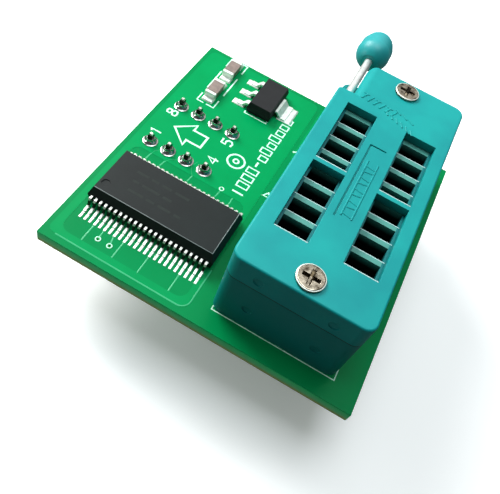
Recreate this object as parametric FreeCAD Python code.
"""Plug-in voltage adapter board: a green circuit board with a level-shifting chip, a regulator,
two rows of header pins underneath and a lever-operated zero-insertion-force test socket.

Everything is drawn in board coordinates, in millimetres: X right along the front edge, Y back,
Z up, with zero at the front left corner of the board's upper face. export() moves each piece to
the part frame, whose origin is the centre of the bottom of the bounding box.
"""
import FreeCAD, Part
import math
import os

from FreeCAD import Vector

# ---- circuit board -------------------------------------------------------------------------
BOARD_X = 37.3
BOARD_Y = 39.0
BOARD_T = 1.6
PITCH = 2.54                      # grid of both through-hole parts

# ---- header pins that plug into the programmer -----------------------------------------------
HEADER_FIRST_X = 2.67
HEADER_ROWS_Y = (18.14, 25.76)    # front row, rear row: three pitches apart
PINS_PER_ROW = 4
PIN_SIDE = 0.64
PIN_HOLE_R = 0.50
PIN_ABOVE = 1.45                  # tip above the board
PIN_BELOW_STRIP = 6.0
PIN_POINT = 0.35                  # length of the tapered tips
STRIP_HEIGHT = 2.54
STRIP_DEPTH = 2.50
STRIP_NOTCH = 0.35                # half width of the V between two pins
PIN_CHAMFER = 0.16                # taken off each side at a tip
PIN_FILLET = (0.95, 0.50, 0.70)   # solder round a pin: radius at the foot and neck, height
TAIL_FILLET = (0.80, 0.40, 0.65)

# ---- test socket -----------------------------------------------------------------------------
COVER_X = (19.63, 34.39)
COVER_Y = (2.57, 37.83)
COVER_TOP = 10.58
COVER_PLATE = 1.03                # thickness of the top plate
SEAM_Z = 7.20                     # where the cover meets the base
COVER_CORNER_R = 1.2
EDGE_R = 0.25
NOTCH_X = 21.55                   # side of the lever notch
NOTCH_Y = 31.60                   # front of the lever notch
SLOTS = 8                         # contacts in each row
ROW_MIDDLE_X = 27.20
ROW_SPACING = 7.62
CONTACT_MIDDLE_Y = 18.27
WINDOW_WIDTH = 3.77
WINDOW_OFFSET = 3.765             # window centre from the middle of the rows
WINDOW_Y = (8.00, 29.09)
MID_BAR_Y = (18.20, 18.83)
SCREW_X = 27.05
SCREW_Y = (4.48, 35.70)
SCREW_SHANK_R = 1.0
SCREW_HEAD_R = 1.50
SCREW_HEAD_HEIGHT = 0.34
SCREW_LENGTH = 8.0
SCREW_HEAD_EDGE = 0.24            # rounding of the head
SCREW_DRIVE = (1.90, 0.46, 0.70)  # cross recess: length and width of an arm, depth
MAIN_CAVITY = (20.70, 6.40, 33.70, 31.30)
CAM_CAVITY = (23.00, 31.20, 31.60, 34.00)
NOTCH_CORNER_R = 0.9
REAR_CORNER_R = 1.1                # upright corner between the notch and the rear face
INDEX_MARK = (26.10, 12.65, 28.10, 24.50)   # L-shaped groove in the top: long arm left, short arm rear
INDEX_MARK_LINE = (0.20, 0.18)    # width and depth of that groove
EJECTOR_R = 0.55                  # round marks of the mould on the front face
EJECTOR_DEPTH = 0.08
EJECTOR_MARKS_COVER = ((23.10, 8.60), (31.00, 8.60))
EJECTOR_MARKS_BASE = ((23.30, 3.20), (31.00, 3.20))

# ---- slider ------------------------------------------------------------------------------------
SLIDER_X = (21.00, 33.40)
SLIDER_Y = (7.50, 31.00)
SLIDER_Z = (7.32, 9.46)
SLIDER_TRAVEL = 0.60
SLIDER_FIRST_SLOT_Y = 8.73
SLIDER_SLOT = 1.89                # along Y; the ribs between slots are 0.65
SLIDER_SLOT_WIDTH = 3.25
TONGUE_X = (24.60, 30.00)
TONGUE_END_GAP = 0.10
CAM_ROOF_GAP = 0.12

# ---- lever -------------------------------------------------------------------------------------
LEVER_X = 20.80                   # centre line of the rod that carries the knob
LEVER_Y = 32.60                   # turning axis
LEVER_Z = SEAM_Z
ROD_R = 0.52
CAM_THROW = SLIDER_TRAVEL / math.sqrt(2.0)
CAM_OFFSET = CAM_THROW / math.sqrt(2.0)
CAM_CLEARANCE = 0.08
CAM_X = (23.30, 24.20, 30.40, 31.30)   # where the throw leaves the axis, is full, and comes back
LEVER_END_X = 33.70
ROD_BEND_R = 0.60
KNOB_Y = (42.60, 48.75)
KNOB_R = 2.25
KNOB_FACE_R = 1.05                # flat face where the rod enters
KNOB_BELLY = (0.75, 1.92)         # place along the knob and radius, between face and widest
KNOB_WIDEST = 2.40
KNOB_STEP = (3.60, 0.12)          # ring where the domed end starts: its place along the knob, its depth
KNOB_CAP = 1.60                   # plastic beyond the end of the rod
RUNNING_GAP = 0.06

# ---- contacts ----------------------------------------------------------------------------------
CONTACT_SHEET = 0.20
CONTACT_WIDTH = 1.60
CONTACT_GAP = 0.62                # between the two leaves
CONTACT_TOP = 8.05
CONTACT_FLOOR = 1.50
TAIL = 0.50
TAIL_BOTTOM = -2.90
TAIL_HOLE_R = 0.45
CONTACT_LIP = 0.14                # how far the moved leaf leans in at its neck
CONTACT_NECK = 0.40               # its distance below the top
POCKET_GAP = 0.08

# ---- level shifter chip --------------------------------------------------------------------------
CHIP_CENTRE = (9.75, 10.05)
CHIP_SIZE = (15.88, 7.40)         # at the parting line
CHIP_DRAFT = 0.45                 # the top is smaller by this on each side
CHIP_Z = (0.15, 1.25, 2.42)       # underside, parting line, top
CHIP_LEADS = 24
CHIP_PITCH = 0.635
CHIP_LEAD_WIDTH = 0.26
CHIP_SPAN = 10.30                 # toe to toe
CHIP_UNDERCUT = 0.18              # the underside is smaller by this on each side
CHIP_DIMPLE = (3.05, 7.97, 0.50, 0.08)   # pin-one mark: place, radius, depth
CHIP_SHEET = 0.18

# ---- regulator -----------------------------------------------------------------------------------
REGULATOR_CENTRE = (11.50, 33.80)
REGULATOR_SIZE = (3.50, 6.30)
REGULATOR_TOP = 1.70
REGULATOR_PITCH = 2.30
REGULATOR_SPAN = 6.8
REGULATOR_Z = (0.08, 0.85)        # underside, parting line
REGULATOR_DRAFTS = (0.10, 0.22)
REGULATOR_SHEET = 0.26
REGULATOR_LEAD = 0.72
REGULATOR_TAB = 3.0

# ---- chip capacitors -------------------------------------------------------------------------------
CAPACITOR_X = 4.75
CAPACITOR_Y = (31.00, 36.10)
CAPACITOR_SIZE = (1.60, 3.20, 1.10)
TERMINAL = 0.50
TERMINAL_EDGE = 0.12
TERMINAL_WRAP = 0.03              # thickness of the metal round the ceramic
SEAT = 0.03                       # solder under a foot that stands on the board

# ---- vias ------------------------------------------------------------------------------------------
VIAS = ((5.70, 2.81), (7.17, 2.77), (13.37, 17.03))
VIA_R = 0.17

# ---- bounding box and origin -----------------------------------------------------------------------
BOTTOM_Z = -(BOARD_T + STRIP_HEIGHT + PIN_BELOW_STRIP)
SHIFT = Vector(-BOARD_X / 2, -KNOB_Y[1] / 2, -BOTTOM_Z)


# ---- helpers -----------------------------------------------------------------------------------------
def box(x0, y0, z0, x1, y1, z1):
    """Box between two corners."""
    return Part.makeBox(x1 - x0, y1 - y0, z1 - z0, Vector(x0, y0, z0))


def post(x, y, z0, z1, radius):
    """Upright cylinder."""
    return Part.makeCylinder(radius, z1 - z0, Vector(x, y, z0))


def rect_wire(x0, y0, x1, y1, z):
    """Closed rectangle at height z."""
    corners = [Vector(x0, y0, z), Vector(x1, y0, z), Vector(x1, y1, z), Vector(x0, y1, z)]
    return Part.makePolygon(corners + corners[:1])


def frustum(rect0, z0, rect1, z1):
    """Solid between two level rectangles, each (x0, y0, x1, y1)."""
    return Part.makeLoft([rect_wire(*rect0, z0), rect_wire(*rect1, z1)], True, True)


def grown(rect, by):
    """Rectangle with each side moved out."""
    return (rect[0] - by, rect[1] - by, rect[2] + by, rect[3] + by)


def centred(cx, cy, sx, sy):
    """Rectangle from its centre and size."""
    return (cx - sx / 2, cy - sy / 2, cx + sx / 2, cy + sy / 2)


def prism_x(profile, x0, x1):
    """Solid made by pushing a closed (y, z) outline along X."""
    points = [Vector(x0, y, z) for y, z in profile]
    face = Part.Face(Part.makePolygon(points + points[:1]))
    return face.extrude(Vector(x1 - x0, 0, 0))


def prism_y(profile, y0, y1):
    """Solid made by pushing a closed (x, z) outline along Y."""
    points = [Vector(x, y0, z) for x, z in profile]
    face = Part.Face(Part.makePolygon(points + points[:1]))
    return face.extrude(Vector(0, y1 - y0, 0))


def join(shapes):
    """One clean solid from several that overlap."""
    return shapes[0].multiFuse(list(shapes[1:])).removeSplitter()


def cut(shape, tools):
    """Shape with every tool taken away."""
    return shape.cut(Part.Compound(list(tools))).removeSplitter()


def fillet_where(shape, radius, wanted):
    """Round the edges whose two end points pass the test."""
    edges = [e for e in shape.Edges if len(e.Vertexes) == 2 and wanted(*[v.Point for v in e.Vertexes])]
    return shape.makeFillet(radius, edges)


def is_upright(a, b):
    """Edge test: runs along Z."""
    return abs(a.x - b.x) < 1e-6 and abs(a.y - b.y) < 1e-6


def at_height(z):
    """Edge test: lies level at height z."""
    return lambda a, b: abs(a.z - z) < 1e-6 and abs(b.z - z) < 1e-6


def bent_rod(points, radius, bend):
    """Round rod along straight runs joined by tangent arcs."""
    edges = []
    start = points[0]
    for before, corner, after in zip(points, points[1:], points[2:]):
        back = (before - corner).normalize()
        ahead = (after - corner).normalize()
        half = back.getAngle(ahead) / 2
        reach = bend / math.tan(half)
        enter = corner + back * reach
        leave = corner + ahead * reach
        bisector = (back + ahead).normalize()
        middle = corner + bisector * (bend / math.sin(half) - bend)
        edges.append(Part.LineSegment(start, enter).toShape())
        edges.append(Part.Arc(enter, middle, leave).toShape())
        start = leave
    edges.append(Part.LineSegment(start, points[-1]).toShape())
    path = Part.Wire(edges)
    direction = points[1] - points[0]
    section = Part.Wire([Part.makeCircle(radius, points[0], direction)])
    return path.makePipeShell([section], True, True)


def export(shape, name):
    """Move one piece to the part frame and write it."""
    placed = shape.copy()
    placed.translate(SHIFT)
    if not placed.isValid():
        print("not valid:", name)
    placed.exportStep("parts/%s.step" % name)


# ---- positions shared by several pieces ------------------------------------------------------------------
def header_positions():
    """Header pins in the order of a dual in-line package: front row rightwards, rear row back."""
    front = [(HEADER_FIRST_X + i * PITCH, HEADER_ROWS_Y[0]) for i in range(PINS_PER_ROW)]
    rear = [(HEADER_FIRST_X + i * PITCH, HEADER_ROWS_Y[1]) for i in range(PINS_PER_ROW)]
    return front + rear[::-1]


def contact_ys():
    """Places of the contacts along each row of the socket."""
    first = CONTACT_MIDDLE_Y - (SLOTS - 1) * PITCH / 2
    return [first + i * PITCH for i in range(SLOTS)]


def contact_positions():
    """Contacts down the left row from the lever end, then up the right row."""
    ys = contact_ys()
    left = [(ROW_MIDDLE_X - ROW_SPACING / 2, y) for y in reversed(ys)]
    right = [(ROW_MIDDLE_X + ROW_SPACING / 2, y) for y in ys]
    return left + right


def window_rects(width):
    """Left and right columns of the socket, as rectangles over the whole slot length."""
    rects = []
    for side in (-1, 1):
        middle = ROW_MIDDLE_X + side * WINDOW_OFFSET
        rects.append((middle - width / 2, WINDOW_Y[0], middle + width / 2, WINDOW_Y[1]))
    return rects


# ---- circuit board -----------------------------------------------------------------------------------------
def circuit_board():
    """Bare board with its drilled holes."""
    board = box(0, 0, -BOARD_T, BOARD_X, BOARD_Y, 0)
    drills = [post(x, y, -BOARD_T - 1, 1, PIN_HOLE_R) for x, y in header_positions()]
    drills += [post(x, y, -BOARD_T - 1, 1, TAIL_HOLE_R) for x, y in contact_positions()]
    drills += [post(x, y, -BOARD_T - 1, 1, VIA_R) for x, y in VIAS]
    return cut(board, drills)


# ---- header ------------------------------------------------------------------------------------------------
def header_strip(row_y):
    """Plastic strip under the board that holds four pins, with V notches between the pins."""
    x0 = HEADER_FIRST_X - PITCH / 2
    x1 = x0 + PINS_PER_ROW * PITCH
    top = -BOARD_T
    y0 = row_y - STRIP_DEPTH / 2
    y1 = row_y + STRIP_DEPTH / 2
    strip = box(x0, y0, top - STRIP_HEIGHT, x1, y1, top)
    notch = STRIP_NOTCH
    tools = []
    for i in range(1, PINS_PER_ROW):
        x = x0 + i * PITCH
        for y in (y0, y1):
            corners = [(x - notch, y), (x, y - notch), (x + notch, y), (x, y + notch)]
            points = [Vector(a, b, top - STRIP_HEIGHT - 1) for a, b in corners]
            face = Part.Face(Part.makePolygon(points + points[:1]))
            tools.append(face.extrude(Vector(0, 0, STRIP_HEIGHT + 2)))
    half = PIN_SIDE / 2
    for i in range(PINS_PER_ROW):
        x = HEADER_FIRST_X + i * PITCH
        tools.append(box(x - half, row_y - half, top - STRIP_HEIGHT - 1, x + half, row_y + half, top + 1))
    return cut(strip, tools)


def header_pin(x, y):
    """Square pin with tapered ends."""
    full = centred(x, y, PIN_SIDE, PIN_SIDE)
    point = grown(full, -PIN_CHAMFER)
    low = BOTTOM_Z + PIN_POINT
    high = PIN_ABOVE - PIN_POINT
    shaft = box(full[0], full[1], low, full[2], full[3], high)
    foot = frustum(point, BOTTOM_Z, full, low)
    head = frustum(full, high, point, PIN_ABOVE)
    return join([shaft, foot, head])


def solder_cone(x, y, size, face_z, up, hole_x, hole_y):
    """Concave solder fillet on one face of the board, open where a pin of hole_x by hole_y passes."""
    base_r, neck_r, height = size
    sign = 1 if up else -1
    ring_z = 0.10
    p0 = Vector(x, y, face_z)
    p1 = Vector(x + base_r, y, face_z)
    p2 = Vector(x + base_r, y, face_z + sign * ring_z)
    p4 = Vector(x + neck_r, y, face_z + sign * height)
    mid_r = neck_r + (base_r - neck_r) * 0.30
    p3 = Vector(x + mid_r, y, face_z + sign * (ring_z + (height - ring_z) * 0.32))
    p5 = Vector(x, y, face_z + sign * height)
    edges = [
        Part.LineSegment(p0, p1).toShape(),
        Part.LineSegment(p1, p2).toShape(),
        Part.Arc(p2, p3, p4).toShape(),
        Part.LineSegment(p4, p5).toShape(),
        Part.LineSegment(p5, p0).toShape(),
    ]
    turned = Part.Face(Part.Wire(edges)).revolve(p0, Vector(0, 0, 1), 360)
    low = min(face_z, face_z + sign * height) - 0.5
    high = max(face_z, face_z + sign * height) + 0.5
    x0, y0, x1, y1 = centred(x, y, hole_x, hole_y)
    return turned.cut(box(x0, y0, low, x1, y1, high))


def header_solder():
    """Eight solder fillets round the pins, on the upper face."""
    places = header_positions()
    return Part.Compound([solder_cone(x, y, PIN_FILLET, 0, True, PIN_SIDE, PIN_SIDE) for x, y in places])


# ---- socket ------------------------------------------------------------------------------------------------
def rounded_block(z0, z1, top_edge):
    """Block of the socket's outline with round upright corners."""
    block = box(COVER_X[0], COVER_Y[0], z0, COVER_X[1], COVER_Y[1], z1)
    block = fillet_where(block, COVER_CORNER_R, is_upright)
    if top_edge:
        block = fillet_where(block, EDGE_R, at_height(z1))
    return block


def notch_block(z0, z1):
    """Space of the lever notch, open to the left and the rear."""
    return box(COVER_X[0] - 5, NOTCH_Y, z0, NOTCH_X, COVER_Y[1] + 5, z1)


def shaft_bed():
    """Round space in which the lever's shaft turns."""
    length = LEVER_END_X + RUNNING_GAP - LEVER_X
    return Part.makeCylinder(ROD_R + RUNNING_GAP, length, Vector(LEVER_X, LEVER_Y, LEVER_Z), Vector(1, 0, 0))


def ejector_marks(places):
    """Shallow round marks on the front face, each place as (x, z)."""
    marks = []
    for x, z in places:
        start = Vector(x, COVER_Y[0] - 1, z)
        marks.append(Part.makeCylinder(EJECTOR_R, 1 + EJECTOR_DEPTH, start, Vector(0, 1, 0)))
    return marks


def socket_base():
    """Lower half of the socket: contact pockets, screw holes, and the bed of the lever's shaft."""
    base = rounded_block(0, SEAM_Z, False)
    tools = []
    half_x = CONTACT_WIDTH / 2 + POCKET_GAP
    half_y = CONTACT_GAP / 2 + CONTACT_SHEET + POCKET_GAP
    for x, y in contact_positions():
        tools.append(box(x - half_x, y - half_y, CONTACT_FLOOR, x + half_x, y + half_y, SEAM_Z + 1))
        tools.append(box(x - TAIL / 2, y - CONTACT_SHEET / 2, -1, x + TAIL / 2, y + CONTACT_SHEET / 2, SEAM_Z))
    for y in SCREW_Y:
        tools.append(post(SCREW_X, y, COVER_TOP - SCREW_LENGTH - 0.4, SEAM_Z + 1, SCREW_SHANK_R))
    tools.append(shaft_bed())
    swing = CAM_OFFSET + ROD_R + 0.15
    tools.append(box(CAM_CAVITY[0], LEVER_Y - swing, SEAM_Z - 0.75, CAM_CAVITY[2], LEVER_Y + swing, SEAM_Z + 1))
    tools.append(notch_block(SEAM_Z - ROD_R - 0.35, SEAM_Z + 1))
    tools += ejector_marks(EJECTOR_MARKS_BASE)
    return cut(base, tools)


def slider_outline():
    """Slider plate before its slots are cut: the plate, and the tongue over the cam."""
    plate = box(SLIDER_X[0], SLIDER_Y[0], SLIDER_Z[0], SLIDER_X[1], SLIDER_Y[1], SLIDER_Z[1])
    tongue = box(TONGUE_X[0], SLIDER_Y[1] - 1, SLIDER_Z[0], TONGUE_X[1], CAM_CAVITY[3] - TONGUE_END_GAP, SLIDER_Z[1])
    return join([plate, tongue])


def socket_slider():
    """Sliding grid that closes the contacts: eight slots to a column and a groove for the cam."""
    tools = []
    for x0, _, x1, _ in window_rects(SLIDER_SLOT_WIDTH):
        for i in range(SLOTS):
            y0 = SLIDER_FIRST_SLOT_Y + i * PITCH
            tools.append(box(x0, y0, SLIDER_Z[0] - 1, x1, y0 + SLIDER_SLOT, SLIDER_Z[1] + 1))
    half = ROD_R + CAM_CLEARANCE
    pin_y = LEVER_Y + CAM_OFFSET
    roof = LEVER_Z + CAM_THROW + ROD_R + CAM_ROOF_GAP
    tools.append(box(TONGUE_X[0] - 1, pin_y - half, SLIDER_Z[0] - 1, TONGUE_X[1] + 1, pin_y + half, roof))
    return cut(slider_outline(), tools)


def socket_cover():
    """Upper half of the socket: windows, screw holes, the lever notch and the moulded index mark."""
    cover = rounded_block(SEAM_Z, COVER_TOP, True)
    plate_z = COVER_TOP - COVER_PLATE
    x0, y0, x1, y1 = MAIN_CAVITY
    tools = [box(x0, y0, SEAM_Z - 1, x1, y1, plate_z)]
    x0, y0, x1, y1 = CAM_CAVITY
    tools.append(box(x0, y0, SEAM_Z - 1, x1, y1, plate_z))
    for wx0, wy0, wx1, wy1 in window_rects(WINDOW_WIDTH):
        tools.append(box(wx0, wy0, SEAM_Z, wx1, MID_BAR_Y[0], COVER_TOP + 1))
        tools.append(box(wx0, MID_BAR_Y[1], SEAM_Z, wx1, wy1, COVER_TOP + 1))
    for y in SCREW_Y:
        tools.append(post(SCREW_X, y, SEAM_Z - 1, COVER_TOP + 1, SCREW_SHANK_R + 0.10))
    tools.append(shaft_bed())
    tools.append(notch_block(SEAM_Z - 1, COVER_TOP + 1))
    mx0, my0, mx1, my1 = INDEX_MARK
    line, depth = INDEX_MARK_LINE
    tools.append(box(mx0, my0, COVER_TOP - depth, mx0 + line, my1, COVER_TOP + 1))
    tools.append(box(mx0, my1 - line, COVER_TOP - depth, mx1, my1, COVER_TOP + 1))
    tools += ejector_marks(EJECTOR_MARKS_COVER)
    cover = cut(cover, tools)

    def at_notch_corner(a, b):
        return is_upright(a, b) and abs(a.x - COVER_X[0]) < 1e-3 and abs(a.y - NOTCH_Y) < 1e-3

    def at_rear_corner(a, b):
        return is_upright(a, b) and abs(a.x - NOTCH_X) < 1e-3 and abs(a.y - COVER_Y[1]) < 1e-3

    cover = fillet_where(cover, NOTCH_CORNER_R, at_notch_corner)
    return fillet_where(cover, REAR_CORNER_R, at_rear_corner)


def contact(x, y):
    """Fork contact: two leaves that grip one leg, a floor and a solder tail."""
    half = CONTACT_GAP / 2
    outer = half + CONTACT_SHEET
    wide = CONTACT_WIDTH / 2
    floor = CONTACT_FLOOR + 0.02
    neck = CONTACT_TOP - CONTACT_NECK
    profile = [
        (y - outer, floor),
        (y + outer, floor),
        (y + outer, SEAM_Z),
        (y + outer - CONTACT_LIP, neck),
        (y + outer, CONTACT_TOP),
        (y + half, CONTACT_TOP),
        (y + half - CONTACT_LIP, neck),
        (y + half, SEAM_Z),
        (y + half, floor + CONTACT_SHEET),
        (y - half, floor + CONTACT_SHEET),
        (y - half, CONTACT_TOP),
        (y - outer, CONTACT_TOP),
    ]
    fork = prism_x(profile, x - wide, x + wide)
    sheet = CONTACT_SHEET / 2
    tail = box(x - TAIL / 2, y - sheet, TAIL_BOTTOM, x + TAIL / 2, y + sheet, CONTACT_FLOOR + 0.10)
    return join([fork, tail])


def socket_solder():
    """Sixteen solder fillets under the board, round the tails of the contacts."""
    places = contact_positions()
    return Part.Compound([solder_cone(x, y, TAIL_FILLET, -BOARD_T, False, TAIL, CONTACT_SHEET) for x, y in places])


def cover_screw(x, y):
    """Pan-head screw with a cross recess."""
    top = COVER_TOP + SCREW_HEAD_HEIGHT
    head = post(x, y, COVER_TOP, top, SCREW_HEAD_R)
    rim = [e for e in head.Edges if abs(e.CenterOfMass.z - top) < 1e-6]
    head = head.makeFillet(SCREW_HEAD_EDGE, rim)
    shank = post(x, y, COVER_TOP - SCREW_LENGTH, COVER_TOP + 0.05, SCREW_SHANK_R)
    length, width, depth = SCREW_DRIVE
    recess = []
    for sx, sy in ((length, width), (width, length)):
        wide = centred(x, y, sx, sy)
        narrow = centred(x, y, sx * 0.45, sy * 0.55)
        recess.append(frustum(narrow, top - depth, wide, top + 0.01))
    return cut(join([head, shank]), recess)


def lever_rod():
    """Bent wire: the arm that carries the knob, the shaft under the cover and its cam throw."""
    y_cam = LEVER_Y + CAM_OFFSET
    z_cam = LEVER_Z + CAM_OFFSET
    points = [
        Vector(LEVER_X, KNOB_Y[1] - KNOB_CAP, LEVER_Z),
        Vector(LEVER_X, LEVER_Y, LEVER_Z),
        Vector(CAM_X[0], LEVER_Y, LEVER_Z),
        Vector(CAM_X[1], y_cam, z_cam),
        Vector(CAM_X[2], y_cam, z_cam),
        Vector(CAM_X[3], LEVER_Y, LEVER_Z),
        Vector(LEVER_END_X, LEVER_Y, LEVER_Z),
    ]
    return bent_rod(points, ROD_R, ROD_BEND_R)


def lever_knob():
    """Egg-shaped plastic knob moulded on the end of the arm, with a blind hole for the rod."""
    y0, y1 = KNOB_Y
    x, z = LEVER_X, LEVER_Z
    hole_end = y1 - KNOB_CAP
    mouth = Vector(x + ROD_R, y0, z)
    rim = Vector(x + KNOB_FACE_R, y0, z)
    belly = Vector(x + KNOB_BELLY[1], y0 + KNOB_BELLY[0], z)
    widest = Vector(x + KNOB_R, y0 + KNOB_WIDEST, z)
    tip = Vector(x, y1, z)
    step_y = y0 + KNOB_STEP[0]
    step = Vector(x + KNOB_R, step_y, z)
    shoulder = Vector(x + KNOB_R - KNOB_STEP[1], step_y, z)
    dome = Part.Ellipse(tip, shoulder, Vector(x, step_y, z))
    floor_middle = Vector(x, hole_end, z)
    floor_edge = Vector(x + ROD_R, hole_end, z)
    edges = [
        Part.LineSegment(mouth, rim).toShape(),
        Part.Arc(rim, belly, widest).toShape(),
        Part.LineSegment(widest, step).toShape(),
        Part.LineSegment(step, shoulder).toShape(),
        Part.ArcOfEllipse(dome, 0, math.pi / 2).toShape(),
        Part.LineSegment(tip, floor_middle).toShape(),
        Part.LineSegment(floor_middle, floor_edge).toShape(),
        Part.LineSegment(floor_edge, mouth).toShape(),
    ]
    outline = Part.Wire(Part.__sortEdges__(edges))
    return Part.Face(outline).revolve(Vector(x, y0, z), Vector(0, 1, 0), 360)


# ---- level shifter chip ------------------------------------------------------------------------------------
def chip_body():
    """Moulded body: two drafted halves that meet at the parting line, and a pin-one dimple."""
    low, part, top = CHIP_Z
    middle = centred(*CHIP_CENTRE, *CHIP_SIZE)
    lower = frustum(grown(middle, -CHIP_UNDERCUT), low, middle, part)
    upper = frustum(middle, part, grown(middle, -CHIP_DRAFT), top)
    x, y, radius, depth = CHIP_DIMPLE
    dimple = post(x, y, top - depth, top + 1, radius)
    return cut(join([lower, upper]), [dimple])


def chip_leads(side):
    """Row of gull-wing leads; side is -1 for the front row and 1 for the rear row."""
    cx, cy = CHIP_CENTRE
    part = CHIP_Z[1]
    body = cy + side * CHIP_SIZE[1] / 2
    toe = cy + side * CHIP_SPAN / 2
    bend = body + side * 0.42
    heel = toe - side * 0.85
    sheet = CHIP_SHEET
    outline = [
        (body, part + sheet / 2),
        (bend, part + sheet / 2),
        (bend + side * 0.12, part - 0.02),
        (heel + side * 0.12, 0.12 + sheet),
        (toe, SEAT + sheet),
        (toe, SEAT),
        (heel, SEAT),
        (heel - side * 0.16, 0.14),
        (bend - side * 0.06, part - sheet / 2),
        (body, part - sheet / 2),
    ]
    first = cx - (CHIP_LEADS - 1) * CHIP_PITCH / 2
    leads = []
    for i in range(CHIP_LEADS):
        x = first + i * CHIP_PITCH
        leads.append(prism_x(outline, x - CHIP_LEAD_WIDTH / 2, x + CHIP_LEAD_WIDTH / 2))
    return Part.Compound(leads)


# ---- regulator ---------------------------------------------------------------------------------------------
def regulator_body():
    """Moulded body with drafted sides."""
    middle = centred(*REGULATOR_CENTRE, *REGULATOR_SIZE)
    low, part = REGULATOR_Z
    under, draft = REGULATOR_DRAFTS
    lower = frustum(grown(middle, -under), low, middle, part)
    upper = frustum(middle, part, grown(middle, -draft), REGULATOR_TOP)
    return join([lower, upper])


def regulator_lead(y, width, side):
    """One gull-wing lead or the wide tab; side is -1 to the left and 1 to the right."""
    cx = REGULATOR_CENTRE[0]
    body = cx + side * REGULATOR_SIZE[0] / 2
    toe = cx + side * REGULATOR_SPAN / 2
    sheet = REGULATOR_SHEET
    part = REGULATOR_Z[1]
    outline = [
        (body, part + sheet / 2),
        (body + side * 0.35, part + sheet / 2),
        (body + side * 0.95, SEAT + sheet),
        (toe, SEAT + sheet),
        (toe, SEAT),
        (body + side * 0.78, SEAT),
        (body + side * 0.22, part - sheet / 2),
        (body, part - sheet / 2),
    ]
    return prism_y(outline, y - width / 2, y + width / 2)


def regulator_leads():
    """Three narrow leads on the left."""
    cy = REGULATOR_CENTRE[1]
    ys = [cy + i * REGULATOR_PITCH for i in (-1, 0, 1)]
    return Part.Compound([regulator_lead(y, REGULATOR_LEAD, -1) for y in ys])


# ---- chip capacitors ---------------------------------------------------------------------------------------
def capacitor_body(y):
    """Ceramic block between its two metal ends."""
    sx, sy, sz = CAPACITOR_SIZE
    x0, y0, x1, y1 = centred(CAPACITOR_X, y, sx - 2 * TERMINAL_WRAP, sy - 2 * TERMINAL)
    return box(x0, y0, SEAT + 2 * TERMINAL_WRAP, x1, y1, sz - TERMINAL_WRAP)


def capacitor_terminals(y):
    """Two metal end caps."""
    sx, sy, sz = CAPACITOR_SIZE
    ends = []
    for side in (-1, 1):
        outer = y + side * sy / 2
        inner = outer - side * TERMINAL
        lo, hi = min(outer, inner), max(outer, inner)
        cap = box(CAPACITOR_X - sx / 2, lo, SEAT, CAPACITOR_X + sx / 2, hi, sz)
        ends.append(cap.makeFillet(TERMINAL_EDGE, cap.Edges))
    return Part.Compound(ends)


# ---- the pieces --------------------------------------------------------------------------------------------
os.makedirs("parts", exist_ok=True)

export(circuit_board(), "circuit_board")

for row_name, row in zip(("front", "rear"), HEADER_ROWS_Y):
    export(header_strip(row), "header_strip_" + row_name)
for number, (px, py) in enumerate(header_positions(), 1):
    export(header_pin(px, py), "header_pin_%d" % number)
export(header_solder(), "header_solder_joints")

export(socket_base(), "socket_base")
export(socket_slider(), "socket_slider")
export(socket_cover(), "socket_cover")
for number, (px, py) in enumerate(contact_positions(), 1):
    export(contact(px, py), "socket_contact_%d" % number)
export(socket_solder(), "socket_solder_joints")
for end_name, screw_y in zip(("front", "rear"), SCREW_Y):
    export(cover_screw(SCREW_X, screw_y), "cover_screw_" + end_name)
export(lever_rod(), "lever_rod")
export(lever_knob(), "lever_knob")

export(chip_body(), "level_shifter_body")
export(chip_leads(-1), "level_shifter_leads_front")
export(chip_leads(1), "level_shifter_leads_rear")

export(regulator_body(), "regulator_body")
export(regulator_leads(), "regulator_leads")
export(regulator_lead(REGULATOR_CENTRE[1], REGULATOR_TAB, 1), "regulator_tab")

for number, cap_y in enumerate(CAPACITOR_Y, 1):
    export(capacitor_body(cap_y), "capacitor_%d_body" % number)
    export(capacitor_terminals(cap_y), "capacitor_%d_terminals" % number)
